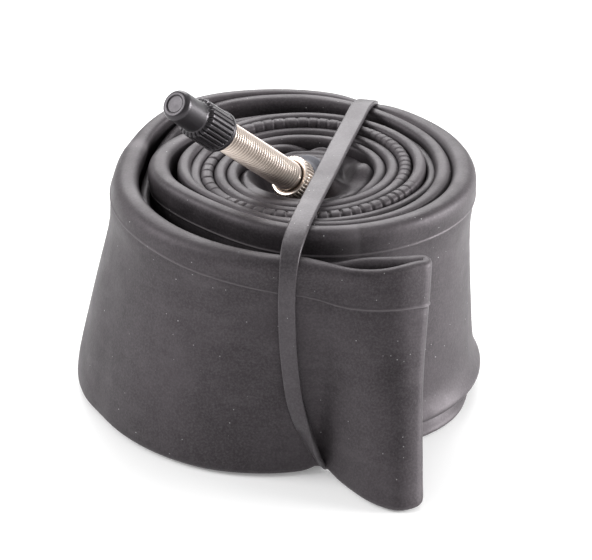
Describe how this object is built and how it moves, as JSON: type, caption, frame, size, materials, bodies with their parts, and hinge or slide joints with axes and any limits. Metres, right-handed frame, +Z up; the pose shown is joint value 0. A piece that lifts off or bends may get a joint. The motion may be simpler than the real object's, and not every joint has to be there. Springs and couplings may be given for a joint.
{
  "type": "bicycle inner tube",
  "caption": "Rolled bicycle inner tube with a slim threaded valve, rim nut and cap, held by a rubber band.",
  "frame": {"origin": "centre of the roll on its flat lower edge", "axes": "+Z up the roll's axis, -Y is the front where the tube's outer fold leaves the roll as a flap, the valve leans to -X and -Y"},
  "size_m": [0.0775, 0.0875, 0.0727],
  "materials": {
    "butyl": "semi-matte with fine talc",
    "foot_rubber": "matte",
    "band_rubber": "matte",
    "plated_brass": "nickel plated, polished",
    "raw_brass": "machined",
    "seal_rubber": "matte",
    "gasket_rubber": "matte",
    "cap_plastic": "satin"
  },
  "bodies": {
    "rolled_tube": {"tube_body": "butyl", "valve_foot_patch": "foot_rubber", "valve_stem": "plated_brass", "rubber_band": "band_rubber"},
    "nut": {"rim_nut": "plated_brass"},
    "core": {"core_body": "raw_brass", "core_gasket": "gasket_rubber"},
    "pin": {"valve_pin": "raw_brass", "seal_cup": "raw_brass", "pin_seal": "seal_rubber"},
    "pin_nut": {"lock_nut": "raw_brass"},
    "cap": {"valve_cap": "cap_plastic"}
  },
  "joints": [
    {"name": "rim_nut_run", "type": "slide", "parent": "rolled_tube", "child": "nut", "axis": [-0.5085, -0.5789, 0.6374], "range_m": [0, 0.0245]},
    {"name": "core_out", "type": "slide", "parent": "rolled_tube", "child": "core", "axis": [-0.5085, -0.5789, 0.6374], "range_m": [0, 0.016]},
    {"name": "pin_press", "type": "slide", "parent": "core", "child": "pin", "axis": [0.5085, 0.5789, -0.6374], "range_m": [0, 0.0014]},
    {"name": "lock_nut_run", "type": "slide", "parent": "pin", "child": "pin_nut", "axis": [0.5085, 0.5789, -0.6374], "range_m": [0, 0.0018]},
    {"name": "cap_off", "type": "slide", "parent": "core", "child": "cap", "axis": [-0.5085, -0.5789, 0.6374], "range_m": [0, 0.03]}
  ]
}
